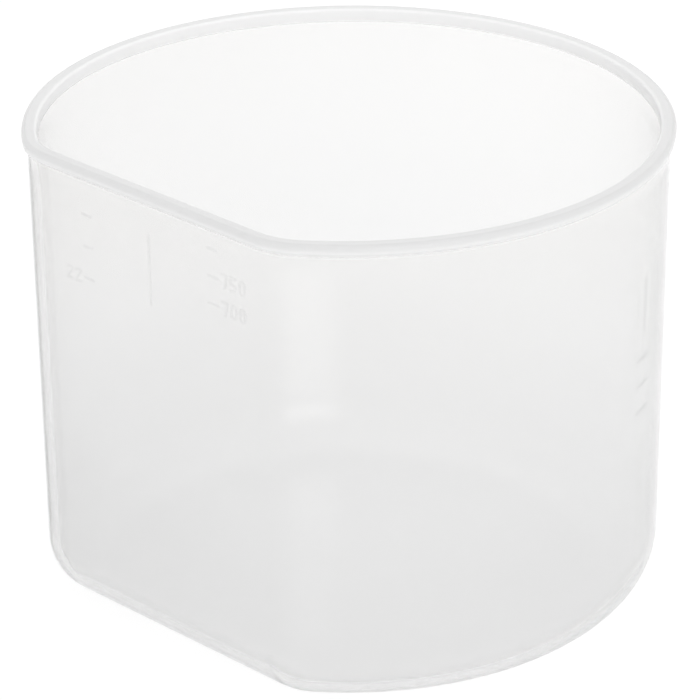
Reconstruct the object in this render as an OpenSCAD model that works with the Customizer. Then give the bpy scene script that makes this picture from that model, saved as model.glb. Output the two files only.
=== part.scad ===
// Deep D-shaped colour mixing bowl, moulded in one piece of translucent plastic.
// One wall section is swept round a D outline: a long arc, a flat side and two rounded corners.
// The flat side faces -Y and the bowl stands on the XY plane.

/* [Outline] */
// Outer radius of the rim on the round side
rim_r = 59.5; // [59:0.5:70]
// Outer radius of the rim at the two corners beside the flat side
corner_r = 15.5; // [14:0.5:20]

/* [Walls] */
// Overall height
bowl_h = 92; // [90:1:120]
// Thickness of the walls and the floor
wall_t = 1.8; // [1:0.1:2.4]
// How far the walls lean in towards the floor, in degrees
draft = 0.7; // [0.2:0.1:1.5]
// Outer radius of the rounded edge between the walls and the floor
base_r = 11; // [5:0.5:12]

/* [Rim] */
// Height of the thick band round the top
rim_h = 1.9; // [1.2:0.1:2]
// How far the band stands out from the wall
rim_out = 1; // [1:0.1:2]
// Radius of the band's inner top edge
rim_edge_r = 0.6; // [0.3:0.1:0.9]

/* [Scale] */
// How far the marks stand out from the wall
relief = 0.25; // [0.1:0.05:0.6]
// Width of the lines and of the numerals' strokes
stroke = 0.5; // [0.3:0.05:0.6]
// Height of a numeral
digit_h = 2.9; // [2.2:0.1:5]
// Width of a numeral
digit_w = 1.7; // [1.3:0.1:2.6]
// Length of a tick
tick_l = 2.6; // [1:0.1:6]
// Highest marked filling, in millilitres
top_ml = 800; // [600:50:800]
// Filling between two marks of the right column, in millilitres
step_ml = 50; // [25:25:50]
// Highest marked filling of the left column, in fluid ounces
top_oz = 26; // [20:1:27]
// Filling between two marks of the left column, in fluid ounces
step_oz = 2; // [1:1:4]

/* [Colours] */
// Colour of the walls and the floor
wall_colour = [0.93, 0.93, 0.92, 0.6];
// Colour of the rim
rim_colour = [0.89, 0.90, 0.90, 0.8];
// Colour of the raised marks
mark_colour = [0.85, 0.85, 0.84, 0.8];

/* [Hidden] */
$fn = 96;

// Each corner turns through the smaller angle of a 3-4-5 triangle, so that the stretches
// of the outline meet on planes with exact coordinates.
turn_sin = 0.6;
turn_cos = 0.8;
turn_a = asin(turn_sin);
// The corner arcs' centres, seen from the round side's centre.
corner_x = (rim_r - corner_r) * turn_sin;
corner_y = (rim_r - corner_r) * turn_cos;
// Distance from the round side's centre to the rim's flat side.
flat_d = corner_y + corner_r;
// The round side's centre, so that the origin is under the middle of the bounding box.
centre_y = (flat_d - rim_r) / 2;

// Offsets are measured inwards from the rim's outer edge.
wall_top = bowl_h - rim_h;
rim_w = rim_out + wall_t;
base_top = base_r * (1 - sin(draft));
base_x = rim_out + (wall_top - base_top) * tan(draft) + base_r * cos(draft);
inner_base_r = base_r - wall_t;
function wall_offset(z) = rim_out + (wall_top - z) * tan(draft);

// Area inside the D outline at an offset.
function d_area(o) =
  PI * pow(rim_r - o, 2) * (180 - turn_a) / 180
  + corner_x * (corner_y + 2 * (corner_r - o))
  + PI * pow(corner_r - o, 2) * turn_a / 180;
// Length of the D outline at an offset.
function d_length(o) =
  2 * PI * (rim_r - o) * (180 - turn_a) / 180 + 2 * corner_x
  + 2 * PI * (corner_r - o) * turn_a / 180;

// Height of the liquid's surface for a filling in millilitres.
ml_per_oz = 29.5735;
fill_area = d_area(wall_offset(bowl_h / 2) + wall_t);
edge_loss = (1 - PI / 4) * pow(inner_base_r, 2) * d_length(base_x);
function fill_z(ml) = wall_t + (1000 * ml + edge_loss) / fill_area;

// Places of the marks on the flat side and on the round side.
column_x = 15;
numeral_gap = 0.8;
ml_numerals_at = [top_ml - step_ml, top_ml - 2 * step_ml];
ml_ticks_at = [top_ml, top_ml - step_ml, top_ml - 2 * step_ml];
oz_numerals_at = [top_oz - 2 * step_oz];
oz_ticks_at = [top_oz, top_oz - step_oz, top_oz - 2 * step_oz];
line_low = fill_z(top_ml - 3 * step_ml);
line_high = fill_z(top_ml) - 2;
side_a = 20;
side_step_a = 5;

// ---- Sections, drawn with the offset along X and the height along Y ----

module rim_section() {
  side_r = rim_h / 2;
  flat_w = rim_w - side_r - rim_edge_r;
  translate([side_r, wall_top + side_r])
    intersection() {
      circle(r = side_r);
      translate([-rim_h, -rim_h])
        square([rim_h, 2 * rim_h]);
    }
  translate([side_r, wall_top])
    square([flat_w, rim_h]);
  translate([rim_w - rim_edge_r, wall_top])
    square([rim_edge_r, rim_h - rim_edge_r]);
  translate([rim_w - rim_edge_r, bowl_h - rim_edge_r])
    intersection() {
      circle(r = rim_edge_r);
      square(rim_edge_r);
    }
}

module wall_section() {
  outer_top = [rim_out, wall_top];
  inner_top = [rim_out + wall_t / cos(draft), wall_top];
  outer_low = [base_x - base_r * cos(draft), base_top];
  inner_low = [base_x - inner_base_r * cos(draft), base_r - inner_base_r * sin(draft)];
  polygon([outer_top, inner_top, inner_low, outer_low]);
}

module base_section() {
  reach = 2 * base_r;
  translate([base_x, base_r])
    intersection() {
      difference() {
        circle(r = base_r);
        circle(r = inner_base_r);
      }
      polygon([
        [0, 0],
        [-reach * cos(draft), -reach * sin(draft)],
        [-reach, -reach],
        [0, -reach]
      ]);
    }
}

// ---- Sweeps of a section round the stretches of the outline ----

// The region between two directions from the origin.
module sector(from_way, to_way) {
  reach = 4 * rim_r;
  polygon([[0, 0], reach * from_way, reach * (from_way + to_way), reach * to_way]);
}

module sector_block(from_way, to_way) {
  translate([0, 0, -bowl_h])
    linear_extrude(height = 3 * bowl_h)
      sector(from_way, to_way);
}

module full_turn(r) {
  rotate_extrude()
    translate([r, 0])
      mirror([1, 0])
        children();
}

module long_arc() {
  translate([0, centre_y, 0])
    difference() {
      full_turn(rim_r) children();
      sector_block([-turn_sin, -turn_cos], [turn_sin, -turn_cos]);
    }
}

// side is 1 for the corner on the right of the flat side and -1 for the one on its left.
module corner(side) {
  translate([side * corner_x, centre_y - corner_y, 0])
    intersection() {
      full_turn(corner_r) children();
      sector_block([side * turn_sin, -turn_cos], [0, -1]);
    }
}

module flat_stretch() {
  translate([-corner_x, centre_y - flat_d, 0])
    rotate([90, 0, 90])
      linear_extrude(height = 2 * corner_x)
        children();
}

module whole_outline() {
  long_arc() children();
  corner(1) children();
  corner(-1) children();
  flat_stretch() children();
}

// The filled D outline at an offset, seen from the round side's centre.
module d_outline(o) {
  difference() {
    circle(r = rim_r - o);
    sector([-turn_sin, -turn_cos], [turn_sin, -turn_cos]);
  }
  polygon([
    [0, 0],
    [-corner_x, -corner_y],
    [-corner_x, o - flat_d],
    [corner_x, o - flat_d],
    [corner_x, -corner_y]
  ]);
  for (side = [-1, 1])
    translate([side * corner_x, -corner_y])
      intersection() {
        circle(r = corner_r - o);
        sector([side * turn_sin, -turn_cos], [0, -1]);
      }
}

// ---- Marks ----

// Local X along the flat wall, Y up it and Z out of it.
module on_flat_wall(x, z) {
  translate([x, centre_y - flat_d + wall_offset(z), z])
    rotate([90 + draft, 0, 0])
      linear_extrude(height = relief)
        children();
}

// A band on the round side between two heights, from one angle over a sweep.
module on_curved_wall(from_a, sweep_a, z0, z1) {
  low_r = rim_r - wall_offset(z0);
  high_r = rim_r - wall_offset(z1);
  translate([0, centre_y, 0])
    rotate([0, 0, from_a])
      rotate_extrude(angle = sweep_a)
        polygon([[low_r, z0], [low_r + relief, z0], [high_r + relief, z1], [high_r, z1]]);
}

module bar(w, h) {
  translate([-w / 2, -h / 2])
    square([w, h]);
}

// A straight stroke whose ends are cut level.
module slant(x0, y0, x1, y1) {
  half = stroke / 2;
  polygon([[x0 - half, y0], [x0 + half, y0], [x1 + half, y1], [x1 - half, y1]]);
}

// Part of a ring of the strokes' width: a quarter turn from from_a, or two with turns = 2.
module ring_part(r, from_a, turns = 1) {
  difference() {
    circle(r = r);
    circle(r = r - stroke);
    for (i = [0 : 3 - turns])
      rotate(from_a + 90 * (turns + i))
        square(2 * r);
  }
}

// Numerals are drawn round their middle, digit_w wide and digit_h high.

module digit_0() {
  r = digit_w / 2;
  straight = digit_h - 2 * r;
  for (side = [-1, 1])
    translate([side * (r - stroke / 2), 0])
      bar(stroke, straight);
  translate([0, straight / 2])
    ring_part(r, 0, turns = 2);
  translate([0, -straight / 2])
    ring_part(r, 180, turns = 2);
}

module digit_1() {
  bar(stroke, digit_h);
}

module digit_2() {
  r = digit_w / 2;
  bend_y = digit_h / 2 - r;
  translate([0, bend_y])
    ring_part(r, 0, turns = 2);
  slant(stroke / 2 - r, stroke - digit_h / 2, r - stroke / 2, bend_y);
  translate([0, (stroke - digit_h) / 2])
    bar(digit_w, stroke);
}

module digit_3() {
  r = (digit_h + stroke) / 4;
  for (side = [-1, 1])
    translate([0, side * (r - stroke / 2)]) {
      ring_part(r, -90, turns = 2);
      translate([-digit_w / 4, side * (r - stroke / 2)])
        bar(digit_w / 2, stroke);
    }
}

module digit_4() {
  foot_x = digit_w / 4;
  arm_y = -digit_h / 6;
  translate([foot_x, 0])
    bar(stroke, digit_h);
  translate([0, arm_y])
    bar(digit_w, stroke);
  slant(stroke / 2 - digit_w / 2, arm_y + stroke / 2, foot_x, digit_h / 2);
}

module digit_5() {
  r = digit_w / 2;
  bowl_y = r - digit_h / 2;
  shoulder_y = bowl_y + r - stroke / 2;
  translate([0, (digit_h - stroke) / 2])
    bar(digit_w, stroke);
  translate([stroke / 2 - r, (shoulder_y - stroke / 2 + digit_h / 2) / 2])
    bar(stroke, digit_h / 2 - shoulder_y + stroke / 2);
  translate([-r / 2, shoulder_y])
    bar(r, stroke);
  translate([0, bowl_y])
    ring_part(r, -90, turns = 2);
  translate([-r / 2, (stroke - digit_h) / 2])
    bar(r, stroke);
}

module digit_6() {
  r = digit_w / 2;
  straight = digit_h - 2 * r;
  translate([0, -straight / 2]) {
    ring_part(r, 0, turns = 2);
    ring_part(r, 180, turns = 2);
  }
  translate([stroke / 2 - r, 0])
    bar(stroke, straight);
  translate([0, straight / 2])
    ring_part(r, 0, turns = 2);
}

module digit_7() {
  translate([0, (digit_h - stroke) / 2])
    bar(digit_w, stroke);
  slant(0, -digit_h / 2, digit_w / 2 - stroke / 2, digit_h / 2 - stroke);
}

module digit_8() {
  r = (digit_h + stroke) / 4;
  for (side = [-1, 1])
    translate([0, side * (r - stroke / 2)])
      difference() {
        circle(r = r);
        circle(r = r - stroke);
      }
}

module digit_9() {
  rotate(180)
    digit_6();
}

module digit(n) {
  if (n == 0) digit_0();
  if (n == 1) digit_1();
  if (n == 2) digit_2();
  if (n == 3) digit_3();
  if (n == 4) digit_4();
  if (n == 5) digit_5();
  if (n == 6) digit_6();
  if (n == 7) digit_7();
  if (n == 8) digit_8();
  if (n == 9) digit_9();
}

// A whole number from its left edge, on the line y = 0.
module numeral(value) {
  digits = value >= 100 ? [floor(value / 100), floor(value / 10) % 10, value % 10]
                        : [floor(value / 10), value % 10];
  for (i = [0 : len(digits) - 1])
    translate([digit_w / 2 + i * (digit_w + stroke), 0])
      digit(digits[i]);
}

// ---- Sub-parts ----

module rim_bead() {
  color(rim_colour)
    whole_outline() rim_section();
}

module curved_wall() {
  color(wall_colour)
    long_arc() wall_section();
}

module flat_wall() {
  color(wall_colour)
    flat_stretch() wall_section();
}

module left_corner_wall() {
  color(wall_colour)
    corner(-1) wall_section();
}

module right_corner_wall() {
  color(wall_colour)
    corner(1) wall_section();
}

module base_edge() {
  color(wall_colour)
    whole_outline() base_section();
}

module floor_panel() {
  color(wall_colour)
    translate([0, centre_y, 0])
      linear_extrude(height = wall_t)
        d_outline(base_x);
}

module scale_line() {
  color(mark_colour)
    on_flat_wall(0, (line_low + line_high) / 2)
      bar(stroke, line_high - line_low);
}

module ml_ticks() {
  color(mark_colour)
    for (ml = ml_ticks_at)
      on_flat_wall(column_x + tick_l / 2, fill_z(ml))
        bar(tick_l, stroke);
}

module ml_numerals() {
  color(mark_colour)
    for (ml = ml_numerals_at)
      on_flat_wall(column_x + tick_l + numeral_gap, fill_z(ml))
        numeral(ml);
}

module oz_ticks() {
  color(mark_colour)
    for (oz = oz_ticks_at)
      on_flat_wall(-column_x - tick_l / 2, fill_z(oz * ml_per_oz))
        bar(tick_l, stroke);
}

module oz_numerals() {
  numeral_w = 2 * digit_w + stroke;
  color(mark_colour)
    for (oz = oz_numerals_at)
      on_flat_wall(-column_x - tick_l - numeral_gap - numeral_w, fill_z(oz * ml_per_oz))
        numeral(oz);
}

// A second short scale on the round side: an upright line and three ticks.
module side_marks() {
  line_a = stroke / rim_r * 180 / PI;
  color(mark_colour) {
    on_curved_wall(side_a, line_a, fill_z(top_ml - 5 * step_ml), fill_z(top_ml - 3 * step_ml));
    for (i = [6 : 8])
      on_curved_wall(
        side_a - side_step_a / 2, side_step_a,
        fill_z(top_ml - i * step_ml) - stroke / 2, fill_z(top_ml - i * step_ml) + stroke / 2
      );
  }
}

rim_bead();
curved_wall();
flat_wall();
left_corner_wall();
right_corner_wall();
base_edge();
floor_panel();
scale_line();
ml_ticks();
ml_numerals();
oz_ticks();
oz_numerals();
side_marks();
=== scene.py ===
"""A deep D-shaped colour mixing bowl of translucent plastic, on a pale studio floor.

The bowl is one moulding, so its walls, base and rim are shown as one closed shell, swept from one
section round the D outline that the CAD parts have. The raised scale and the marks on the side are
shown by their CAD parts.
"""
import math

import bpy
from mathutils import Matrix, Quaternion, Vector

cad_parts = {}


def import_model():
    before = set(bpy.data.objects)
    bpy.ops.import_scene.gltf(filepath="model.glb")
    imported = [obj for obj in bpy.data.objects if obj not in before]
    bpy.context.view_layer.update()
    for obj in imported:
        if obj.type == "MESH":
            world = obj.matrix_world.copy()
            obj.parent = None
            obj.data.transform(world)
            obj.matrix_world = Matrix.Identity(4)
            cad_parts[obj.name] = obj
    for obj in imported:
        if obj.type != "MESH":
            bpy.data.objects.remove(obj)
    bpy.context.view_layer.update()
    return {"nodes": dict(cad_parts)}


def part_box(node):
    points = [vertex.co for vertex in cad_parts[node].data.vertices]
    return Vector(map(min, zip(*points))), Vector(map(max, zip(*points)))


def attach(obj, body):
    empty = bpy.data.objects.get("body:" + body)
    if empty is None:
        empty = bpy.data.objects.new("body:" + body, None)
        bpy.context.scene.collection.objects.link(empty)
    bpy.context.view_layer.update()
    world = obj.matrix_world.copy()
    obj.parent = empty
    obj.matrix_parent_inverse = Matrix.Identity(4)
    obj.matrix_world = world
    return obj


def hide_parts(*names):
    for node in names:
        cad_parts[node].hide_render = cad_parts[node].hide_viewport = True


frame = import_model()

MM = 0.001

# ---- Sizes, read from the CAD parts ----

rim_low, rim_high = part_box("rim_bead")
floor_low, floor_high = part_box("floor_panel")

BOWL_H = rim_high.z
WALL_TOP = rim_low.z
WALL_T = floor_high.z
RIM_R = (rim_high.x - rim_low.x) / 2
CENTRE_Y = rim_high.y - RIM_R
FLAT_D = CENTRE_Y - rim_low.y
TURN_SIN, TURN_COS = 0.6, 0.8  # sine and cosine of the angle that each corner turns through
CORNER_R = (FLAT_D - TURN_COS * RIM_R) / (1 - TURN_COS)
CORNER_X = TURN_SIN * (RIM_R - CORNER_R)
CORNER_Y = TURN_COS * (RIM_R - CORNER_R)

RIM_H = BOWL_H - WALL_TOP
RIM_OUT = 1.0 * MM  # how far the rim stands proud of the wall
RIM_EDGE_R = 0.6 * MM
UNDER_RIM_R = 0.85 * MM  # the hollow where the rim meets the wall
DRAFT = math.radians(0.7)  # the wall's lean
BASE_R = 11.0 * MM  # outside radius of the base edge
WALL_FOOT = BASE_R * (1 - math.sin(DRAFT))  # height at which the straight wall meets the base edge
BASE_X = RIM_OUT + (WALL_TOP - WALL_FOOT) * math.tan(DRAFT) + BASE_R * math.cos(DRAFT)


# ---- The shell ----

def arc(cx, cz, r, from_deg, to_deg, steps):
    """Points (offset, height) of an arc about (cx, cz), both ends included."""
    points = []
    for i in range(steps + 1):
        a = math.radians(from_deg + (to_deg - from_deg) * i / steps)
        points.append((cx + r * math.cos(a), cz + r * math.sin(a)))
    return points


def straight(start, end, steps):
    """Points between two ends, neither included."""
    points = []
    for i in range(1, steps):
        offset = start[0] + (end[0] - start[0]) * i / steps
        height = start[1] + (end[1] - start[1]) * i / steps
        points.append((offset, height))
    return points


def shell_section():
    """The wall's section, from the underside up the outside and down the inside to the floor.

    Each point is (offset inwards from the rim's outer edge, height).
    """
    draft_deg = math.degrees(DRAFT)
    bead_r = RIM_H / 2
    bead_z = WALL_TOP + bead_r
    rim_w = RIM_OUT + WALL_T
    under_x = RIM_OUT - UNDER_RIM_R
    outside_base = arc(BASE_X, BASE_R, BASE_R, -90, -180 + draft_deg, steps=18)
    under_rim = arc(under_x, WALL_TOP - UNDER_RIM_R, UNDER_RIM_R, 0, 90, steps=4)
    bead = arc(bead_r, bead_z, bead_r, 270, 90, steps=16)
    inner_edge = arc(rim_w - RIM_EDGE_R, BOWL_H - RIM_EDGE_R, RIM_EDGE_R, 90, 0, steps=6)
    inside_base = arc(BASE_X, BASE_R, BASE_R - WALL_T, 180 + draft_deg, 270, steps=16)

    points = list(outside_base)
    points += straight(outside_base[-1], under_rim[0], steps=26)
    points += under_rim
    # The bead is left out where the hollow below it takes its place.
    points += [p for p in bead if p[0] < under_x or p[1] > bead_z]
    points += straight(bead[-1], inner_edge[0], steps=3)
    points += inner_edge
    points += straight(inner_edge[-1], inside_base[0], steps=26)
    points += inside_base
    return points


def outline_stations():
    """(place on the rim's outer edge, direction inwards) round the D outline."""
    turn = math.asin(TURN_SIN)
    front = -math.pi / 2  # the flat side looks this way
    flat_steps = 28
    stations = []

    def turn_about(cx, cy, r, from_a, to_a, steps):
        for i in range(steps):
            a = from_a + (to_a - from_a) * i / steps
            way = Vector((math.cos(a), math.sin(a)))
            stations.append((Vector((cx, cy)) + r * way, -way))

    turn_about(0, CENTRE_Y, RIM_R, front + turn, front - turn + 2 * math.pi, steps=280)
    turn_about(-CORNER_X, CENTRE_Y - CORNER_Y, CORNER_R, front - turn, front, steps=14)
    for i in range(flat_steps):
        x = -CORNER_X + 2 * CORNER_X * i / flat_steps
        stations.append((Vector((x, CENTRE_Y - FLAT_D)), Vector((0, 1))))
    turn_about(CORNER_X, CENTRE_Y - CORNER_Y, CORNER_R, front, front + turn, steps=14)
    return stations


# Sizes of the rings that fill the floor, as fractions of the floor's edge.
FLOOR_RINGS = (0.97, 0.9, 0.8, 0.65, 0.5, 0.35, 0.2, 0.08)


def quads_between(ring, next_ring):
    """Four-sided faces between two closed rings of vertex numbers."""
    faces = []
    for i in range(len(ring)):
        j = (i + 1) % len(ring)
        faces.append((ring[i], ring[j], next_ring[j], next_ring[i]))
    return faces


def shell_mesh():
    """The section swept round the outline, with its floor closed above and below."""
    section = shell_section()
    stations = outline_stations()
    rows, columns = len(section), len(stations)
    verts = []
    for offset, z in section:
        for place, inwards in stations:
            p = place + offset * inwards
            verts.append((p.x, p.y, z))
    rings = [range(row * columns, (row + 1) * columns) for row in range(rows)]
    faces = []
    for ring, next_ring in zip(rings, rings[1:]):
        faces += quads_between(ring, next_ring)

    middle = Vector((0, CENTRE_Y))
    for edge_row, z, upwards in ((0, 0.0, False), (rows - 1, WALL_T, True)):
        ring = rings[edge_row]
        edge_offset = section[edge_row][0]
        floor_faces = []
        for scale in FLOOR_RINGS:
            next_ring = range(len(verts), len(verts) + columns)
            for place, inwards in stations:
                p = middle + scale * (place + edge_offset * inwards - middle)
                verts.append((p.x, p.y, z))
            floor_faces += quads_between(ring, next_ring)
            ring = next_ring
        floor_faces.append(tuple(ring))
        faces += [face if upwards else face[::-1] for face in floor_faces]
    mesh = bpy.data.meshes.new("bowl_shell")
    mesh.from_pydata(verts, [], faces)
    mesh.validate()
    mesh.polygons.foreach_set("use_smooth", [True] * len(mesh.polygons))
    return mesh


def add(mesh):
    """Puts a mesh in the scene as an object of the same name."""
    ob = bpy.data.objects.new(mesh.name, mesh)
    bpy.context.scene.collection.objects.link(ob)
    return ob


# ---- Materials ----

class Nodes:
    """Short calls for building a material's node tree."""

    def __init__(self, name):
        self.material = bpy.data.materials.new(name)
        self.material.use_nodes = True
        self.tree = self.material.node_tree
        self.tree.nodes.clear()

    def add(self, kind, **settings):
        """A new node with these settings."""
        node = self.tree.nodes.new(kind)
        for key, value in settings.items():
            setattr(node, key, value)
        return node

    def link(self, source, target):
        self.tree.links.new(source, target)

    def put(self, value, target):
        """Links a socket to the target, or sets the target to a plain value."""
        if isinstance(value, bpy.types.NodeSocket):
            self.link(value, target)
        else:
            target.default_value = value

    def ramp(self, value, low, high, to_low, to_high, shape="SMOOTHSTEP"):
        """A number that goes from to_low to to_high while value goes from low to high."""
        node = self.add("ShaderNodeMapRange", interpolation_type=shape)
        self.put(value, node.inputs["Value"])
        self.put(low, node.inputs["From Min"])
        self.put(high, node.inputs["From Max"])
        self.put(to_low, node.inputs["To Min"])
        self.put(to_high, node.inputs["To Max"])
        return node.outputs["Result"]

    def math(self, operation, a, b):
        node = self.add("ShaderNodeMath", operation=operation)
        self.put(a, node.inputs[0])
        self.put(b, node.inputs[1])
        return node.outputs["Value"]

    def vectors(self, operation, a, b):
        """A vector operation's node, which has a Vector output and a Value output."""
        node = self.add("ShaderNodeVectorMath", operation=operation)
        self.put(a, node.inputs[0])
        self.put(b, node.inputs[1])
        return node

    def mix(self, blend, factor, a, b):
        """Blends two colours, each a socket or a colour."""
        node = self.add("ShaderNodeMix", data_type="RGBA", blend_type=blend)
        self.put(factor, node.inputs["Factor"])
        self.put(a, node.inputs["A"])
        self.put(b, node.inputs["B"])
        return node.outputs["Result"]


def grey(level):
    return (level, level, level)


# Colour of the wall by height, from the underside (0) to the top of the rim (1): slightly cream near the
# top, and darker low in the wall as painted shade.
WALL_TINTS_AND_PAINTED_SHADE = [
    (0.0, grey(0.975)),
    (0.02, grey(0.975)),
    (0.03, grey(0.92)),
    (0.25, grey(0.943)),
    (0.42, grey(0.98)),
    (0.75, (0.998, 0.996, 0.993)),
    (0.98, (1.0, 0.996, 0.99)),
]


def wall_plastic():
    """Natural translucent plastic: hazy and clear in the wall, cloudy in the thick rim, with painted
    shade in its colour (darker low in the wall and on the rim's outside) and painted light on the rim's
    inside.
    """
    n = Nodes("wall_plastic")
    out = n.add("ShaderNodeOutputMaterial")
    bsdf = n.add("ShaderNodeBsdfPrincipled")
    bsdf.inputs["IOR"].default_value = 1.49
    bsdf.inputs["Coat Weight"].default_value = 0.3
    bsdf.inputs["Coat Roughness"].default_value = 0.08
    bsdf.inputs["Coat IOR"].default_value = 1.4
    bsdf.inputs["Subsurface Scale"].default_value = 15 * MM
    bsdf.inputs["Subsurface Radius"].default_value = (1, 1, 1)

    where = n.add("ShaderNodeTexCoord")
    axes = n.add("ShaderNodeSeparateXYZ")
    n.link(where.outputs["Object"], axes.inputs["Vector"])
    z = axes.outputs["Z"]
    noise = n.add("ShaderNodeTexNoise")
    noise.inputs["Scale"].default_value = 35
    noise.inputs["Detail"].default_value = 3
    n.link(where.outputs["Object"], noise.inputs["Vector"])

    # 0 in the clear wall, 1 in the cloudy rim.
    rim_foot = WALL_TOP - 0.2 * MM
    cloudy = n.ramp(z, WALL_TOP - 0.9 * MM, rim_foot, 0, 1)

    # Painted shade: the wall's colour by height, darker towards its foot.
    wall_tint_and_painted_shade = n.add("ShaderNodeValToRGB")
    stops = wall_tint_and_painted_shade.color_ramp.elements
    while len(stops) < len(WALL_TINTS_AND_PAINTED_SHADE):
        stops.new(0.5)
    for stop, (place, colour) in zip(stops, WALL_TINTS_AND_PAINTED_SHADE):
        stop.position = place
        stop.color = (*colour, 1)
    n.link(n.ramp(z, 0, BOWL_H, 0, 1, "LINEAR"), wall_tint_and_painted_shade.inputs["Fac"])

    # The rim's colour is painted light and shade: its inside is painted pale all over, as if lit through
    # from behind, and its outside is painted pale low down and darker higher up. The number "outwards"
    # is the distance from the upright axis times how squarely the surface faces away from it.
    level_place = n.vectors("MULTIPLY", where.outputs["Object"], (1, 1, 0)).outputs["Vector"]
    outwards = n.vectors("DOT_PRODUCT", level_place, where.outputs["Normal"]).outputs["Value"]
    outside_painted_shading_level = n.ramp(z, rim_foot, WALL_TOP + 1.3 * MM, 0.84, 0.64)
    rim_painted_shading_level = n.ramp(outwards, -50 * MM, 25 * MM, 0.97, outside_painted_shading_level)
    rim_painted_shading = n.add("ShaderNodeCombineColor")
    for channel in ("Red", "Green", "Blue"):
        n.link(rim_painted_shading_level, rim_painted_shading.inputs[channel])
    tint = n.mix("MIX", cloudy, wall_tint_and_painted_shade.outputs["Color"], rim_painted_shading.outputs["Color"])
    mottled = n.mix("MULTIPLY", 0.012, tint, noise.outputs["Fac"])
    n.link(mottled, bsdf.inputs["Base Color"])

    n.link(n.ramp(cloudy, 0, 1, 0.96, 0, "LINEAR"), bsdf.inputs["Transmission Weight"])
    n.link(n.math("MULTIPLY", cloudy, 0.5), bsdf.inputs["Subsurface Weight"])
    satin = n.ramp(noise.outputs["Fac"], 0, 1, 0.095, 0.125, "LINEAR")
    n.link(n.math("ADD", satin, n.math("MULTIPLY", cloudy, 0.4)), bsdf.inputs["Roughness"])
    n.link(bsdf.outputs["BSDF"], out.inputs["Surface"])

    haze = n.add("ShaderNodeVolumeAbsorption")
    haze.inputs["Color"].default_value = (*grey(0.5), 1)
    haze.inputs["Density"].default_value = 44
    n.link(haze.outputs["Volume"], out.inputs["Volume"])
    return n.material


def mark_plastic():
    """The raised marks are of the wall's own plastic; their faint grey strokes are painted shade in
    place of the shade their raised edges give.
    """
    n = Nodes("mark_plastic")
    out = n.add("ShaderNodeOutputMaterial")
    bsdf = n.add("ShaderNodeBsdfPrincipled")
    bsdf.inputs["Roughness"].default_value = 0.3
    bsdf.inputs["Alpha"].default_value = 0.042
    where = n.add("ShaderNodeTexCoord")
    noise = n.add("ShaderNodeTexNoise")
    noise.inputs["Scale"].default_value = 300
    n.link(where.outputs["Object"], noise.inputs["Vector"])
    # Painted shade: the marks' faint grey, which varies at random.
    tint = n.add("ShaderNodeValToRGB")
    tint.color_ramp.elements[0].color = (*grey(0.5), 1)
    tint.color_ramp.elements[1].color = (*grey(0.6), 1)
    n.link(noise.outputs["Fac"], tint.inputs["Fac"])
    n.link(tint.outputs["Color"], bsdf.inputs["Base Color"])
    n.link(bsdf.outputs["BSDF"], out.inputs["Surface"])
    return n.material


# ---- Build ----

shell = add(shell_mesh())
shell.data.materials.append(wall_plastic())
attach(shell, "root")
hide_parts("rim_bead", "curved_wall", "flat_wall", "left_corner_wall", "right_corner_wall",
            "base_edge", "floor_panel")

mark_material = mark_plastic()
for node in ("scale_line", "ml_ticks", "ml_numerals", "oz_ticks", "oz_numerals", "side_marks"):
    part = frame["nodes"][node]
    part.data.materials.clear()
    part.data.materials.append(mark_material)


# ---- Stage ----

def direction(azimuth, elevation):
    """Unit vector towards an azimuth (anticlockwise from +X) and an elevation, both in degrees."""
    a, e = math.radians(azimuth), math.radians(elevation)
    return Vector((math.cos(a) * math.cos(e), math.sin(a) * math.cos(e), math.sin(e)))


def stage_floor():
    """A pale floor that glows like a light table, a little more towards one side."""
    half = 4.0
    z = -0.3 * MM  # just clear of the bowl's underside
    corners = [(-half, -half, z), (half, -half, z), (half, half, z), (-half, half, z)]
    mesh = bpy.data.meshes.new("studio_floor")
    mesh.from_pydata(corners, [], [(0, 1, 2, 3)])
    n = Nodes("studio_floor")
    out = n.add("ShaderNodeOutputMaterial")
    bsdf = n.add("ShaderNodeBsdfPrincipled")
    bsdf.inputs["Base Color"].default_value = (*grey(0.1), 1)
    bsdf.inputs["Roughness"].default_value = 0.9
    bsdf.inputs["Specular IOR Level"].default_value = 0
    bsdf.inputs["Emission Color"].default_value = (1, 1, 1, 1)
    where = n.add("ShaderNodeTexCoord")
    brighter_side = direction(azimuth=45.28, elevation=0)
    across = n.vectors("DOT_PRODUCT", where.outputs["Object"], brighter_side).outputs["Value"]
    glow = n.ramp(across, -70 * MM, 80 * MM, 0.935, 0.985)
    n.link(glow, bsdf.inputs["Emission Strength"])
    n.link(bsdf.outputs["BSDF"], out.inputs["Surface"])
    mesh.materials.append(n.material)
    add(mesh)


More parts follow.
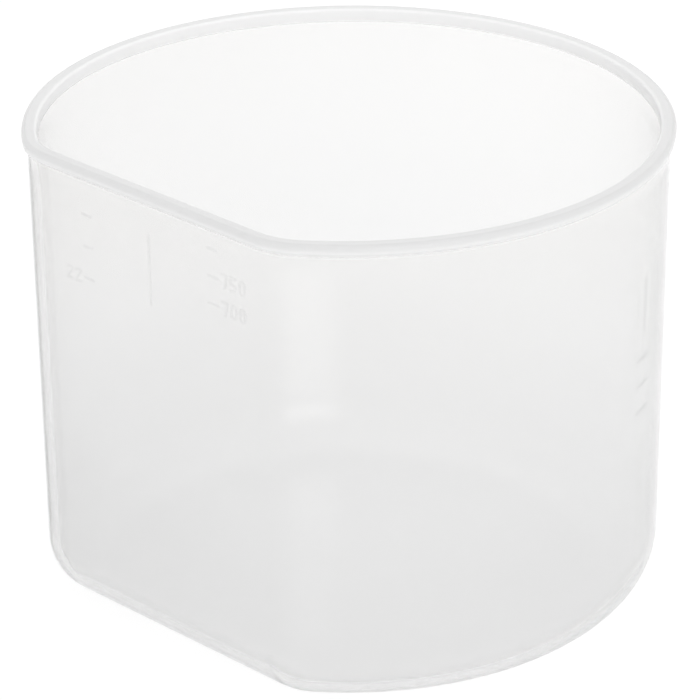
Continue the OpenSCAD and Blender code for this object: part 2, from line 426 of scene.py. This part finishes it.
def softbox(name, azimuth, elevation, distance, width, height, power):
    """A square-cornered soft light that looks at the origin. Sizes in metres, power in watts."""
    light = bpy.data.lights.new(name, "AREA")
    light.shape = "RECTANGLE"
    light.size = width
    light.size_y = height
    light.energy = power
    ob = bpy.data.objects.new(name, light)
    ob.location = direction(azimuth, elevation) * distance
    ob.rotation_mode = "QUATERNION"
    ob.rotation_quaternion = (-ob.location).to_track_quat("-Z", "Y")
    bpy.context.scene.collection.objects.link(ob)


def world(strength):
    """Even white light from all round."""
    studio = bpy.data.worlds.new("studio")
    studio.use_nodes = True
    background = studio.node_tree.nodes["Background"]
    background.inputs["Color"].default_value = (1, 1, 1, 1)
    background.inputs["Strength"].default_value = strength
    bpy.context.scene.world = studio


def camera(azimuth, elevation, distance, lens, roll):
    """A camera aimed a little below and to the left of the bowl's middle.

    Distance in metres, lens in millimetres, angles in degrees.
    """
    data = bpy.data.cameras.new("camera")
    data.sensor_width = 36
    data.lens = lens
    data.clip_end = 20
    ob = bpy.data.objects.new("camera", data)
    back = direction(azimuth, elevation)
    right = direction(azimuth + 90, 0)
    below, left = 0.7 * MM, 0.19 * MM
    target = Vector((0, CENTRE_Y, BOWL_H / 2 - below)) - left * right
    ob.location = target + back * distance
    aim = (-back).to_track_quat("-Z", "Y")
    ob.rotation_mode = "QUATERNION"
    ob.rotation_quaternion = aim @ Quaternion((0, 0, 1), math.radians(roll))
    bpy.context.scene.collection.objects.link(ob)
    bpy.context.scene.camera = ob


stage_floor()
world(0.95)
softbox("key_softbox", azimuth=-26, elevation=24, distance=1.5, width=0.58, height=0.4, power=2.8)
camera(azimuth=-44.72, elevation=24.74, distance=0.7913, lens=218.27, roll=-0.54)

bpy.context.scene.view_settings.view_transform = "Standard"
bpy.context.scene.view_settings.look = "None"

# Light passes through many walls of clear plastic before it reaches the eye.
clear_bounces = 48
cycles = bpy.context.scene.cycles
cycles.max_bounces = clear_bounces
cycles.glossy_bounces = clear_bounces
cycles.transmission_bounces = clear_bounces
cycles.diffuse_bounces = 6
